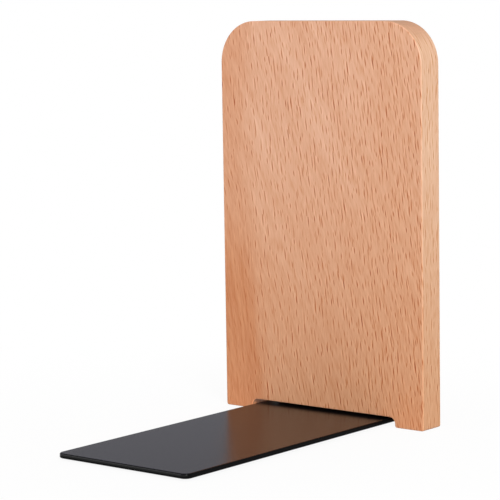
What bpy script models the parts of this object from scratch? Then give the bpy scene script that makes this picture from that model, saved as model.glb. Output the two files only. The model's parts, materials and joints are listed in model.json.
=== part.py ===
"""Wooden bookend: a beech board that stands on two feet, with a steel angle screwed to its back.

Metres, +Z up. The origin is the centre of the part's footprint, on the shelf. Books stand on
the foot of the angle, at -Y, and lean against the board's front face. The board's two large
round corners are at its top, and a shallow recess in its bottom edge lets the angle through.
"""

import math

import bmesh
import bpy
from mathutils import Euler, Matrix, Vector

# Board
BOARD_HEIGHT = 0.160
BOARD_WIDTH = 0.100
BOARD_THICKNESS = 0.012
TOP_CORNER_RADIUS = 0.017
FOOT_CORNER_RADIUS = 0.001
ARRIS_RADIUS = 0.0005

# Recess in the board's bottom edge, with corners as round as its cutter
RECESS_CUTTER_RADIUS = 0.0026
RECESS_SIDE_CLEARANCE = 0.0042
RECESS_HEADROOM = 0.001

# Steel angle
SHEET_WIDTH = 0.064
SHEET_THICKNESS = 0.002
FOOT_REACH = 0.121
LEG_TOP_HEIGHT = 0.052
BEND_INNER_RADIUS = 0.0015
SHEET_CORNER_RADIUS = 0.003
SHEET_EDGE_RADIUS = 0.0006

# Countersunk wood screws, with their heads just below the leg's face
SCREW_SPACING = 0.038
SCREW_HEIGHT = 0.032
SCREW_LENGTH = 0.010
SCREW_TIP_LENGTH = 0.0025
SCREW_HEAD_DIAMETER = 0.006
SCREW_HEAD_LAND = 0.0002
SCREW_HEAD_SINK = 0.0001
THREAD_DIAMETER = 0.003
THREAD_CORE_DIAMETER = 0.0021
THREAD_PITCH = 0.0012
DRIVE_SPAN = 0.0034
DRIVE_SLOT_WIDTH = 0.0008
DRIVE_DEPTH = 0.0014

# Anti-slip dots under the foot of the angle
PAD_DIAMETER = 0.010
PAD_THICKNESS = 0.0007
PAD_EDGE_INSET = 0.007

# Clearance between pieces that touch, and how far a cutter runs past what it cuts
SEAT_GAP = 0.0003
CUT_OVERRUN = 0.001

# Finishes: linear colour, roughness and, for bare metal, a metallic value
BEECH_COLOUR = (0.70, 0.40, 0.23)
BEECH_ROUGHNESS = 0.55
BLACK_COAT_COLOUR = (0.012, 0.012, 0.013)
BLACK_COAT_ROUGHNESS = 0.35
ZINC_COLOUR = (0.60, 0.60, 0.61)
ZINC_ROUGHNESS = 0.35
ZINC_METALLIC = 1.0
RUBBER_COLOUR = (0.03, 0.03, 0.03)
RUBBER_ROUGHNESS = 0.8

# Facets
LARGE_ARC_STEPS = 12
SMALL_ARC_STEPS = 5
ARRIS_SEGMENTS = 3
CORNER_SEGMENTS = 4
EDGE_SEGMENTS = 2
ROUND_SIDES = 32
SHARP_ANGLE = math.radians(35)
FLAT_ANGLE = math.radians(0.5)
MERGE_DISTANCE = 0.000001

# Heights and depths that follow from the sizes above
SHEET_UNDERSIDE = PAD_THICKNESS + SEAT_GAP
SHEET_TOP = SHEET_UNDERSIDE + SHEET_THICKNESS
RECESS_HEIGHT = SHEET_TOP + RECESS_HEADROOM
PART_DEPTH = FOOT_REACH + BOARD_THICKNESS + SEAT_GAP + SHEET_THICKNESS
FOOT_FRONT = -PART_DEPTH / 2
BOARD_FRONT = FOOT_FRONT + FOOT_REACH
BOARD_BACK = BOARD_FRONT + BOARD_THICKNESS
LEG_FRONT = BOARD_BACK + SEAT_GAP
LEG_BACK = LEG_FRONT + SHEET_THICKNESS
SCREW_HEAD_FACE = LEG_BACK - SCREW_HEAD_SINK

# A flat outline stands upright: drawn in X and Z, or drawn in Y and Z
FACING_FRONT = Euler((math.pi / 2, 0, 0))
FACING_SIDE = Euler((math.pi / 2, 0, math.pi / 2))
# A turned piece points backwards: its own +Z lies along the part's +Y
POINTING_BACK = Euler((-math.pi / 2, 0, 0))


def clear_scene():
    """Remove every object that the file starts with."""
    for item in list(bpy.data.objects):
        bpy.data.objects.remove(item, do_unlink=True)


def new_collection(name):
    """Make a collection under the scene's own."""
    collection = bpy.data.collections.new(name)
    bpy.context.scene.collection.children.link(collection)
    return collection


def new_material(name, colour, roughness, metallic=0.0):
    """Make a Principled material with one colour."""
    material = bpy.data.materials.new(name)
    material.use_nodes = True
    shader = material.node_tree.nodes["Principled BSDF"]
    shader.inputs["Base Color"].default_value = (*colour, 1.0)
    shader.inputs["Roughness"].default_value = roughness
    shader.inputs["Metallic"].default_value = metallic
    material.diffuse_color = (*colour, 1.0)
    return material


def arc(centre, radius, start, end, steps):
    """Points on an arc round centre, from angle start to angle end, ends included."""
    points = []
    for step in range(steps + 1):
        angle = start + (end - start) * step / steps
        points.append((centre[0] + radius * math.cos(angle), centre[1] + radius * math.sin(angle)))
    return points


def mirrored(points):
    """The same points on the other side of the middle, in the opposite order."""
    return [(-across, up) for across, up in reversed(points)]


def outline_mesh(name, points, thickness):
    """Mesh of a closed flat outline with a thickness, centred on the outline's plane."""
    curve = bpy.data.curves.new(name + "_outline", "CURVE")
    curve.dimensions = "2D"
    curve.fill_mode = "BOTH"
    curve.extrude = thickness / 2
    spline = curve.splines.new("POLY")
    spline.points.add(len(points) - 1)
    for point, (across, up) in zip(spline.points, points):
        point.co = (across, up, 0, 1)
    spline.use_cyclic_u = True
    drawn = bpy.data.objects.new(name + "_outline", curve)
    bpy.context.scene.collection.objects.link(drawn)
    depsgraph = bpy.context.evaluated_depsgraph_get()
    mesh = bpy.data.meshes.new_from_object(drawn.evaluated_get(depsgraph))
    mesh.name = name
    bpy.data.objects.remove(drawn, do_unlink=True)
    tidy = bmesh.new()
    tidy.from_mesh(mesh)
    bmesh.ops.remove_doubles(tidy, verts=tidy.verts, dist=MERGE_DISTANCE)
    bmesh.ops.dissolve_limit(tidy, angle_limit=FLAT_ANGLE, verts=tidy.verts, edges=tidy.edges)
    bmesh.ops.recalc_face_normals(tidy, faces=tidy.faces)
    tidy.to_mesh(mesh)
    tidy.free()
    return mesh


def place(name, mesh, collection, parent, location, rotation=None, material=None):
    """Put a mesh in the scene as a named object."""
    item = bpy.data.objects.new(name, mesh)
    collection.objects.link(item)
    item.parent = parent
    item.location = location
    if rotation:
        item.rotation_euler = rotation
    if material:
        mesh.materials.append(material)
    return item


def shade_round(item):
    """Shade smooth, apart from the edges that are meant to be seen."""
    item.data.shade_smooth()
    item.data.set_sharp_from_angle(angle=SHARP_ANGLE)


def add_bevel(item, width, segments, by_weight=False):
    """Round an object's sharp edges, or only the edges that carry a bevel weight."""
    bevel = item.modifiers.new("rounding", "BEVEL")
    bevel.width = width
    bevel.segments = segments
    bevel.limit_method = "WEIGHT" if by_weight else "ANGLE"
    bevel.angle_limit = SHARP_ANGLE
    bevel.use_clamp_overlap = False


def add_cut(item, cutter):
    """Cut one object with another, which is then only a guide."""
    cutter.hide_render = True
    cutter.display_type = "WIRE"
    cut = item.modifiers.new("cut_by_" + cutter.name, "BOOLEAN")
    cut.operation = "DIFFERENCE"
    cut.object = cutter


def turned_piece(name, profile, collection, parent, location, material=None):
    """Turn a profile of (radius, height) points, listed from its top down, to point backwards."""
    mesh = bpy.data.meshes.new(name)
    edges = [(index, index + 1) for index in range(len(profile) - 1)]
    mesh.from_pydata([(radius, 0, height) for radius, height in profile], edges, [])
    item = place(name, mesh, collection, parent, location, POINTING_BACK, material)
    turn = item.modifiers.new("turn", "SCREW")
    turn.axis = "Z"
    turn.steps = ROUND_SIDES
    turn.render_steps = ROUND_SIDES
    turn.use_merge_vertices = True
    turn.merge_threshold = MERGE_DISTANCE
    turn.use_smooth_shade = False
    return item


def cylinder_mesh(name, radius, height):
    """Mesh of an upright cylinder round its own centre."""
    mesh = bpy.data.meshes.new(name)
    shape = bmesh.new()
    bmesh.ops.create_cone(
        shape, cap_ends=True, segments=ROUND_SIDES, radius1=radius, radius2=radius, depth=height
    )
    shape.to_mesh(mesh)
    shape.free()
    return mesh


def box_mesh(name, size):
    """Mesh of a box round its own centre."""
    mesh = bpy.data.meshes.new(name)
    shape = bmesh.new()
    bmesh.ops.create_cube(shape, size=1, matrix=Matrix.Diagonal((*size, 1)))
    shape.to_mesh(mesh)
    shape.free()
    return mesh


def screw_places():
    """Name and X of each screw."""
    return [("left", -SCREW_SPACING / 2), ("right", SCREW_SPACING / 2)]


def board_outline():
    """The board's outline in X and Z, anticlockwise from the middle of the recess's ceiling."""
    half_width = BOARD_WIDTH / 2
    recess_half_width = SHEET_WIDTH / 2 + RECESS_SIDE_CLEARANCE
    recess_radius = min(RECESS_CUTTER_RADIUS, RECESS_HEIGHT - FOOT_CORNER_RADIUS)
    recess_corner = arc(
        (recess_half_width - recess_radius, RECESS_HEIGHT - recess_radius), recess_radius,
        math.pi / 2, 0, SMALL_ARC_STEPS,
    )
    foot_inner_corner = arc(
        (recess_half_width + FOOT_CORNER_RADIUS, FOOT_CORNER_RADIUS), FOOT_CORNER_RADIUS,
        math.pi, 3 * math.pi / 2, SMALL_ARC_STEPS,
    )
    foot_outer_corner = arc(
        (half_width - FOOT_CORNER_RADIUS, FOOT_CORNER_RADIUS), FOOT_CORNER_RADIUS,
        -math.pi / 2, 0, SMALL_ARC_STEPS,
    )
    top_corner = arc(
        (half_width - TOP_CORNER_RADIUS, BOARD_HEIGHT - TOP_CORNER_RADIUS), TOP_CORNER_RADIUS,
        0, math.pi / 2, LARGE_ARC_STEPS,
    )
    right_half = recess_corner + foot_inner_corner + foot_outer_corner + top_corner
    return right_half + mirrored(right_half)


def make_board(collection, cutters, parent, material):
    """Beech board with rounded arrises, the recess, and a pilot hole for each screw."""
    mesh = outline_mesh("beech_board", board_outline(), BOARD_THICKNESS)
    middle = (0, BOARD_FRONT + BOARD_THICKNESS / 2, 0)
    board = place("beech_board", mesh, collection, parent, middle, FACING_FRONT, material)
    shade_round(board)
    add_bevel(board, ARRIS_RADIUS, ARRIS_SEGMENTS)
    hole_bottom = SCREW_HEAD_FACE - SCREW_LENGTH - SEAT_GAP
    hole_length = BOARD_BACK + CUT_OVERRUN - hole_bottom
    hole_radius = THREAD_DIAMETER / 2 + SEAT_GAP
    for side, across in screw_places():
        hole = place(
            "pilot_hole_" + side, cylinder_mesh("pilot_hole_" + side, hole_radius, hole_length),
            cutters, parent, (across, hole_bottom + hole_length / 2, SCREW_HEIGHT), POINTING_BACK,
        )
        add_cut(board, hole)
    return board


def angle_outline():
    """The angle's section in Y and Z: the foot, the bend and the leg."""
    outer_radius = BEND_INNER_RADIUS + SHEET_THICKNESS
    bend_centre = (LEG_BACK - outer_radius, SHEET_UNDERSIDE + outer_radius)
    outer_bend = arc(bend_centre, outer_radius, -math.pi / 2, 0, SMALL_ARC_STEPS)
    inner_bend = arc(bend_centre, BEND_INNER_RADIUS, 0, -math.pi / 2, SMALL_ARC_STEPS)
    return (
        [(FOOT_FRONT, SHEET_UNDERSIDE)]
        + outer_bend
        + [(LEG_BACK, LEG_TOP_HEIGHT), (LEG_FRONT, LEG_TOP_HEIGHT)]
        + inner_bend
        + [(FOOT_FRONT, SHEET_TOP)]
    )


def mark_sheet_corners(mesh):
    """Give a bevel weight to the four edges that are the corners of the flat sheet."""
    weights = mesh.attributes.new("bevel_weight_edge", "FLOAT", "EDGE")
    for edge in mesh.edges:
        first, second = (mesh.vertices[index].co for index in edge.vertices)
        along_width = abs(first.z - second.z) > MERGE_DISTANCE
        at_front = max(first.x, second.x) < FOOT_FRONT + MERGE_DISTANCE
        at_top = min(first.y, second.y) > LEG_TOP_HEIGHT - MERGE_DISTANCE
        weights.data[edge.index].value = float((at_front or at_top) and not along_width)


def make_angle(collection, cutters, parent, material):
    """Bent steel sheet with rounded corners and edges, and two countersunk holes in its leg."""
    mesh = outline_mesh("steel_angle", angle_outline(), SHEET_WIDTH)
    mark_sheet_corners(mesh)
    angle = place("steel_angle", mesh, collection, parent, (0, 0, 0), FACING_SIDE, material)
    shade_round(angle)
    add_bevel(angle, SHEET_CORNER_RADIUS, CORNER_SEGMENTS, by_weight=True)
    add_bevel(angle, SHEET_EDGE_RADIUS, EDGE_SEGMENTS)
    head_radius = SCREW_HEAD_DIAMETER / 2 + SEAT_GAP
    hole_radius = THREAD_DIAMETER / 2 + SEAT_GAP
    sink_start = SCREW_HEAD_SINK + SCREW_HEAD_LAND
    profile = [
        (0, CUT_OVERRUN),
        (head_radius, CUT_OVERRUN),
        (head_radius, -sink_start),
        (hole_radius, -sink_start - (head_radius - hole_radius)),
        (hole_radius, -SHEET_THICKNESS - CUT_OVERRUN),
        (0, -SHEET_THICKNESS - CUT_OVERRUN),
    ]
    for side, across in screw_places():
        place_of_hole = (across, LEG_BACK, SCREW_HEIGHT)
        hole = turned_piece("countersunk_hole_" + side, profile, cutters, parent, place_of_hole)
        add_cut(angle, hole)
    return angle


def screw_profile():
    """A screw's profile, from its head's face down to its tip, with the thread as turned rings."""
    head_radius = SCREW_HEAD_DIAMETER / 2
    thread_radius = THREAD_DIAMETER / 2
    core_radius = THREAD_CORE_DIAMETER / 2
    neck = -SCREW_HEAD_LAND - (head_radius - core_radius)
    thread_end = -SCREW_LENGTH + SCREW_TIP_LENGTH
    profile = [(0, 0), (head_radius, 0), (head_radius, -SCREW_HEAD_LAND), (core_radius, neck)]
    turns = max(1, int((neck - thread_end) / THREAD_PITCH))
    pitch = (neck - thread_end) / turns
    for turn in range(turns):
        crest = neck - (turn + 1 / 2) * pitch
        profile.append((thread_radius, crest))
        profile.append((core_radius, crest - pitch / 2))
    return profile + [(0, -SCREW_LENGTH)]


def make_screw(side, across, collection, cutters, parent, material):
    """Countersunk wood screw with a cross drive, its head in the leg and its tip in the board."""
    name = "leg_screw_" + side
    seat = (across, SCREW_HEAD_FACE, SCREW_HEIGHT)
    screw = turned_piece(name, screw_profile(), collection, parent, seat, material)
    slot_height = 2 * DRIVE_DEPTH
    for direction, size in (
        ("across", (DRIVE_SPAN, DRIVE_SLOT_WIDTH, slot_height)),
        ("up", (DRIVE_SLOT_WIDTH, DRIVE_SPAN, slot_height)),
    ):
        slot_name = name + "_slot_" + direction
        slot = place(slot_name, box_mesh(slot_name, size), cutters, parent, seat, POINTING_BACK)
        add_cut(screw, slot)
    return screw


def pad_places():
    """Name, X and Y of each anti-slip dot: near the sheet's corners and in front of the board."""
    inset = PAD_EDGE_INSET + PAD_DIAMETER / 2
    half_span = SHEET_WIDTH / 2 - inset
    rows = (("front", FOOT_FRONT + inset), ("rear", BOARD_FRONT - inset))
    sides = (("left", -half_span), ("right", half_span))
    return [
        (row + "_" + side, across, along) for row, along in rows for side, across in sides
    ]


def make_pad(name, across, along, collection, parent, material):
    """Round self-adhesive dot under the foot of the angle."""
    mesh = cylinder_mesh(name, PAD_DIAMETER / 2, PAD_THICKNESS)
    centre = Vector((across, along, PAD_THICKNESS / 2))
    return place(name, mesh, collection, parent, centre, material=material)


def main():
    """Build the bookend."""
    clear_scene()
    parts = new_collection("wooden_bookend")
    cutters = new_collection("cutters")
    root = bpy.data.objects.new("bookend_origin", None)
    parts.objects.link(root)

    beech = new_material("beech", BEECH_COLOUR, BEECH_ROUGHNESS)
    black_coat = new_material("black_powder_coat", BLACK_COAT_COLOUR, BLACK_COAT_ROUGHNESS)
    zinc = new_material("zinc_plated_steel", ZINC_COLOUR, ZINC_ROUGHNESS, ZINC_METALLIC)
    rubber = new_material("anti_slip_rubber", RUBBER_COLOUR, RUBBER_ROUGHNESS)

    make_board(parts, cutters, root, beech)
    make_angle(parts, cutters, root, black_coat)
    for side, across in screw_places():
        make_screw(side, across, parts, cutters, root, zinc)
    for place_name, across, along in pad_places():
        make_pad("pad_" + place_name, across, along, parts, root, rubber)


main()
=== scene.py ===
"""Studio picture of a wooden bookend: a beech board on a bent, powder-coated steel angle.

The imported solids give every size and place. Each of them is replaced here by a finer piece at the
same place: the board and the sheet are rounded slabs, and the screws and pads are turned shapes.
Metres throughout, +Z up, with the books' side at -Y.
"""

from __future__ import annotations

import json
import logging
import math
from collections.abc import Callable, Sequence
from dataclasses import dataclass
from enum import Enum

import bmesh
import bpy
import numpy as np
from bpy.types import Material, Node, NodeSocket, NodeTree, Object
from mathutils import Euler, Matrix, Vector

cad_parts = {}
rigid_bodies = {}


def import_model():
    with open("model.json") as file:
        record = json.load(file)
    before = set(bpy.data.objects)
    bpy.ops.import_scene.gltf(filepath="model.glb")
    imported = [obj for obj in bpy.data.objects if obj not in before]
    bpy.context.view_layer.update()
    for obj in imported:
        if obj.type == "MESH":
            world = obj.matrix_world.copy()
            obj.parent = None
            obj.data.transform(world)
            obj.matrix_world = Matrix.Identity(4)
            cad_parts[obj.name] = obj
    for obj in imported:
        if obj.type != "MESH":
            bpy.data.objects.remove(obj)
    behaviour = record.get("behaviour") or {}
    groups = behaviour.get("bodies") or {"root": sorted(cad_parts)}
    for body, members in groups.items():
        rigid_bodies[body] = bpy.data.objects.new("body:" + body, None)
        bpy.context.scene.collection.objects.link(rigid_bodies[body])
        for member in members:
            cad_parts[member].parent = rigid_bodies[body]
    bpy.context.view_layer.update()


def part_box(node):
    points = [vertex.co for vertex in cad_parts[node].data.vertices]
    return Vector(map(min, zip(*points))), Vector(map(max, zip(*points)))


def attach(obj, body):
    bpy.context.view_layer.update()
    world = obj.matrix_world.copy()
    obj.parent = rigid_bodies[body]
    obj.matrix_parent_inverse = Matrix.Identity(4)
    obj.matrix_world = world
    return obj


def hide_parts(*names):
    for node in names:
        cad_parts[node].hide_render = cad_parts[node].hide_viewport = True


LOG = logging.getLogger("bookend")

MM = 0.001
PER_METRE = 1000.0
WELD_DISTANCE = 0.002 * MM
SHARP_ANGLE = math.radians(32)
QUARTER_TURN = math.pi / 2
FULL_TURN = 2 * math.pi
BODY = "root"

DIMPLES_TO_A_PATCH = 12.0
WHITE = (1.0, 1.0, 1.0, 1.0)

Colour = tuple[float, float, float]
Point = tuple[float, float, float]
Span = tuple[float, float]
Placing = Callable[[np.ndarray], np.ndarray]


def linear(colour: Colour) -> tuple[float, float, float, float]:
    """Turn a colour as seen on a screen, 0 to 255, into the linear colour that a shader takes.

    Args:
        colour: Red, green and blue from 0 to 255.

    Returns:
        Linear red, green and blue from 0 to 1, and an alpha of 1.
    """
    seen = np.array(colour) / 255
    light = np.where(seen <= 0.04045, seen / 12.92, ((seen + 0.055) / 1.055) ** 2.4)
    return (*light.tolist(), 1.0)


class CapStyle(Enum):
    """How the two flat faces of a slab are filled in from its rounded rim."""

    SINGLE = "single"
    LADDER = "ladder"


@dataclass(frozen=True)
class Box:
    """Where one solid of the frame lies."""

    low: Vector
    high: Vector

    @property
    def size(self) -> Vector:
        """Its width, depth and height."""
        return self.high - self.low

    @property
    def centre(self) -> Vector:
        """The point in its middle."""
        return (self.low + self.high) / 2


@dataclass(frozen=True)
class Outline:
    """A flat outline, as points and outward normals in two coordinates."""

    points: np.ndarray
    normals: np.ndarray

    @classmethod
    def arc(
        cls, centre: Sequence[float], radius: float, start: int, end: int, steps: int,
        hollow: bool = False,
    ) -> Outline:
        """Make a stretch of a circle: centre + radius * (cos a, sin a).

        Args:
            centre: The circle's centre.
            radius: The circle's radius.
            start: The angle of the first point, in quarter turns.
            end: The angle of the last point, in quarter turns.
            steps: How many straight steps stand for the arc.
            hollow: Whether the material lies outside the circle.

        Returns:
            The arc's points, with normals that point out of the material.
        """
        angles = np.linspace(start, end, steps + 1) * QUARTER_TURN
        rays = np.stack([np.cos(angles), np.sin(angles)], axis=1)
        return cls(np.array(centre) + radius * rays, -rays if hollow else rays)

    def joined(self, other: Outline, spacing: float) -> Outline:
        """Run straight on to another stretch.

        Args:
            other: The stretch that comes next.
            spacing: The most that points on the straight run lie apart.

        Returns:
            Both stretches and the points between them, in order.
        """
        start, end = self.points[-1], other.points[0]
        reach = end - start
        length = float(np.linalg.norm(reach))
        steps = max(1, math.ceil(length / spacing))
        shares = np.linspace(0, 1, steps + 1)[1:-1, None]
        between = start + shares * reach
        flat = np.tile(np.array([reach[1], -reach[0]]) / length, (len(between), 1))
        return Outline(
            np.concatenate([self.points, between, other.points]),
            np.concatenate([self.normals, flat, other.normals]),
        )

    def mirrored(self) -> Outline:
        """The same stretch on the other side of the middle, run the other way."""
        flip = np.array([-1.0, 1.0])
        return Outline(self.points[::-1] * flip, self.normals[::-1] * flip)


def new_object(name: str, data: bpy.types.ID) -> Object:
    """Put a new object in the scene."""
    item = bpy.data.objects.new(name, data)
    bpy.context.scene.collection.objects.link(item)
    return item


class Skin:
    """Collects nets of points and makes one closed mesh of them."""

    def __init__(self, name: str) -> None:
        """Start an empty skin.

        Args:
            name: The name of the object that it becomes.
        """
        self.name = name
        self.points: list[np.ndarray] = []
        self.faces: list[list[int]] = []
        self.count = 0

    def add_net(self, net: np.ndarray, wraps: bool) -> None:
        """Add a net of rows and columns of points.

        Args:
            net: Points as rows x columns x 3.
            wraps: Whether the last column joins the first.
        """
        rows, columns = net.shape[:2]
        index = self.count + np.arange(rows * columns).reshape(rows, columns)
        after = np.roll(index, -1, axis=1) if wraps else index[:, 1:]
        before = index if wraps else index[:, :-1]
        quads = np.stack([before[:-1], after[:-1], after[1:], before[1:]], axis=-1)
        self._keep(net.reshape(-1, 3), quads.reshape(-1, 4))

    def add_fan(self, rim: np.ndarray, centre: Sequence[float]) -> None:
        """Close a ring of points with triangles that meet in its centre.

        Args:
            rim: The ring's points, in order.
            centre: The point in its middle.
        """
        ring = self.count + np.arange(len(rim))
        middle = np.full(len(rim), self.count + len(rim))
        triangles = np.stack([ring, np.roll(ring, -1), middle], axis=1)
        self._keep(np.concatenate([rim, np.array([centre])]), triangles)

    def add_face(self, rim: np.ndarray) -> None:
        """Close a ring of points with one flat face."""
        self._keep(rim, self.count + np.arange(len(rim))[None])

    def _keep(self, points: np.ndarray, faces: np.ndarray) -> None:
        """Store points and the faces between them.

        Args:
            points: Points as rows of three.
            faces: Rows of points' numbers, counted over the whole skin.
        """
        self.points.append(points)
        self.faces.extend(faces.tolist())
        self.count += len(points)

    def build(self) -> Object:
        """Weld the seams and poles, and turn every face outwards.

        Returns:
            A closed object in the scene.
        """
        mesh = bpy.data.meshes.new(self.name)
        mesh.from_pydata(np.concatenate(self.points).tolist(), [], self.faces)
        shape = bmesh.new()
        shape.from_mesh(mesh)
        bmesh.ops.remove_doubles(shape, verts=shape.verts, dist=WELD_DISTANCE)
        bmesh.ops.dissolve_degenerate(shape, edges=shape.edges, dist=WELD_DISTANCE)
        bmesh.ops.recalc_face_normals(shape, faces=shape.faces)
        shape.to_mesh(mesh)
        shape.free()
        return new_object(self.name, mesh)


def rim_profile(thickness: float, radius: float, segments: int) -> np.ndarray:
    """Work out the section of a slab's rounded edge, from its lower face to its upper face.

    Both quarter circles are height = centre + radius * sin a, and one more point beside each of
    them keeps the flat edge between them evenly shaded.

    Args:
        thickness: The slab's thickness.
        radius: The radius of its edges.
        segments: How many facets round each edge.

    Returns:
        Rows of (cosine, height). A point lies radius * (1 - cosine) inside the outline.
    """
    lower = np.linspace(-QUARTER_TURN, 0, segments + 1)
    upper = np.linspace(0, QUARTER_TURN, segments + 1)
    support = radius * (1 - math.cos(QUARTER_TURN / segments)) + radius / segments
    angles = np.concatenate([lower, [0, 0], upper])
    centres = np.concatenate(
        [
            np.full(len(lower), radius),
            [radius + support, thickness - radius - support],
            np.full(len(upper), thickness - radius),
        ]
    )
    return np.stack([np.cos(angles), centres + radius * np.sin(angles)], axis=1)


def slab(
    skin: Skin, outline: Outline, thickness: float, radius: float, segments: int, cap: CapStyle,
    place: Placing,
) -> None:
    """Add a flat slab with rounded edges to a skin, bent or turned to its place.

    A point of the rim is outline - radius * normal + radius * cos a * normal, at the height that
    the rim's profile gives. A single cap is one flat face. A ladder joins each point of the
    right half to its mirror image, in columns that crowd near the edges.

    Args:
        skin: The skin that takes the surface.
        outline: The slab's outline, its right half first and then that half mirrored.
        thickness: The slab's thickness.
        radius: The radius of its edges.
        segments: How many facets round each edge.
        cap: How the flat faces are filled in.
        place: Turns (across, along, height) into places in space.
    """
    profile = rim_profile(thickness, radius, segments)
    inset = outline.points - radius * outline.normals
    flat = inset + radius * profile[:, :1, None] * outline.normals
    heights = np.broadcast_to(profile[:, 1:, None], (len(profile), len(inset), 1))
    rim = np.concatenate([flat, heights], axis=2)
    skin.add_net(place(rim), wraps=True)
    half = len(inset) // 2
    edge_share = radius / float(np.ptp(inset[:, 0]))
    shares = np.array([0, edge_share, 0.5, 1 - edge_share, 1])[None, :, None]
    for ring in (rim[0], rim[-1]):
        if cap is CapStyle.SINGLE:
            skin.add_face(place(ring))
        else:
            right, left = ring[:half, None], ring[half:][::-1, None]
            skin.add_net(place(left + shares * (right - left)), wraps=False)


def turned(profile: np.ndarray, sides: int, place: Placing) -> np.ndarray:
    """Turn a profile round an axis: (radius * cos a, radius * sin a, height).

    Args:
        profile: Rows of (radius, height), or rows x sides x 2 where the radius changes round it.
        sides: How many columns go round.
        place: Turns (across, up, along the axis) into places in space.

    Returns:
        A net of points, with one row for each point of the profile.
    """
    angles = np.arange(sides) * FULL_TURN / sides
    rows = profile.reshape(len(profile), -1, 2)
    radius, height = np.moveaxis(np.broadcast_to(rows, (len(rows), sides, 2)), -1, 0)
    return place(np.stack([radius * np.cos(angles), radius * np.sin(angles), height], axis=2))


def carve(piece: Object, cutters: Sequence[Object]) -> None:
    """Cut a piece, keep the result as its mesh, and remove the cutters.

    Args:
        piece: The piece, which is closed.
        cutters: Closed objects, which are used up.
    """
    for cutter in cutters:
        cut = piece.modifiers.new("cut_by_" + cutter.name, "BOOLEAN")
        cut.operation = "DIFFERENCE"
        cut.object = cutter
    depsgraph = bpy.context.evaluated_depsgraph_get()
    carved = bpy.data.meshes.new_from_object(piece.evaluated_get(depsgraph))
    piece.modifiers.clear()
    piece.data = carved
    for cutter in cutters:
        bpy.data.objects.remove(cutter, do_unlink=True)


def finish_piece(piece: Object, node: str, material: Material) -> None:
    """Dress a piece and let it stand for the solid that it replaces.

    Args:
        piece: The finished mesh object, in place.
        node: The solid that it replaces.
        material: Its material.
    """
    piece.data.materials.clear()
    piece.data.materials.append(material)
    piece.data.shade_smooth()
    piece.data.set_sharp_from_angle(angle=SHARP_ANGLE)
    shading = piece.modifiers.new("flat_faces_lead", "WEIGHTED_NORMAL")
    shading.keep_sharp = True
    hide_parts(node)
    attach(piece, BODY)
    LOG.info("%s: %d faces", piece.name, len(piece.data.polygons))


def operator(operation: str, reverse: bool = False) -> Callable[..., Term]:
    """Make a method of Term that works out a number with a Math node.

    Args:
        operation: What the node does.
        reverse: Whether the term itself comes last.

    Returns:
        The method.
    """

    def work_out(self: Term, *others: Value) -> Term:
        """Work out the number."""
        return self.graph.math(operation, *((*others, self) if reverse else (self, *others)))

    return work_out


@dataclass(frozen=True)
class Term:
    """A number, vector or colour that a shader node puts out.

    Formulas with numbers are written as with plain ones.
    """

    graph: Graph
    socket: NodeSocket

    __add__ = __radd__ = operator("ADD")
    __sub__ = operator("SUBTRACT")
    __rsub__ = operator("SUBTRACT", reverse=True)
    __mul__ = operator("MULTIPLY")
    __truediv__ = operator("DIVIDE")
    __rtruediv__ = operator("DIVIDE", reverse=True)
    __pow__ = operator("POWER")
    __rpow__ = operator("POWER", reverse=True)
    __abs__ = operator("ABSOLUTE")
    __lt__ = operator("LESS_THAN")
    __gt__ = operator("GREATER_THAN")
    at_least = operator("MAXIMUM")

    def ease(self, start: Value, end: Value) -> Term:
        """Rise smoothly from 0 where the number is at the start to 1 where it is at the end."""
        inputs = {"Value": self, "From Min": start, "From Max": end}
        return self.graph.out("ShaderNodeMapRange", inputs, interpolation_type="SMOOTHSTEP")

    def between(self, low: float, high: float) -> Term:
        """Stretch a number from 0..1 to low..high."""
        return self.graph.math("MULTIPLY_ADD", self, high - low, low)

    def swing(self, depth: float) -> Term:
        """Stretch a number from 0..1 to a swing of half the depth to each side of 0."""
        return self.between(-depth / 2, depth / 2)

    def mixed(self, first: Value, second: Value) -> Term:
        """Blend two numbers, with this one as the second's share."""
        return self.graph.out("ShaderNodeMix", {0: self, 2: first, 3: second})

    def blend(self, first: Value, second: Value) -> Term:
        """Blend two colours, with this number as the second's share."""
        return self.graph.out("ShaderNodeMix", {0: self, 6: first, 7: second}, 2, data_type="RGBA")

    def times(self, other: Value) -> Term:
        """Multiply a vector or colour by another."""
        return self.graph.vector("MULTIPLY", self, other)

    def parts(self) -> list[Term]:
        """Split a vector into its three numbers."""
        split = self.graph.add("ShaderNodeSeparateXYZ", {0: self})
        return [Term(self.graph, socket) for socket in split.outputs]

    def noise(self, detail: float = 2.0) -> Term:
        """Soft noise at a place, one feature to a unit, about 0.5 in the middle."""
        inputs = {"Vector": self, "Scale": 1.0, "Detail": detail}
        return self.graph.out("ShaderNodeTexNoise", inputs)


Value = float | Sequence[float] | NodeSocket | Term


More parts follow.
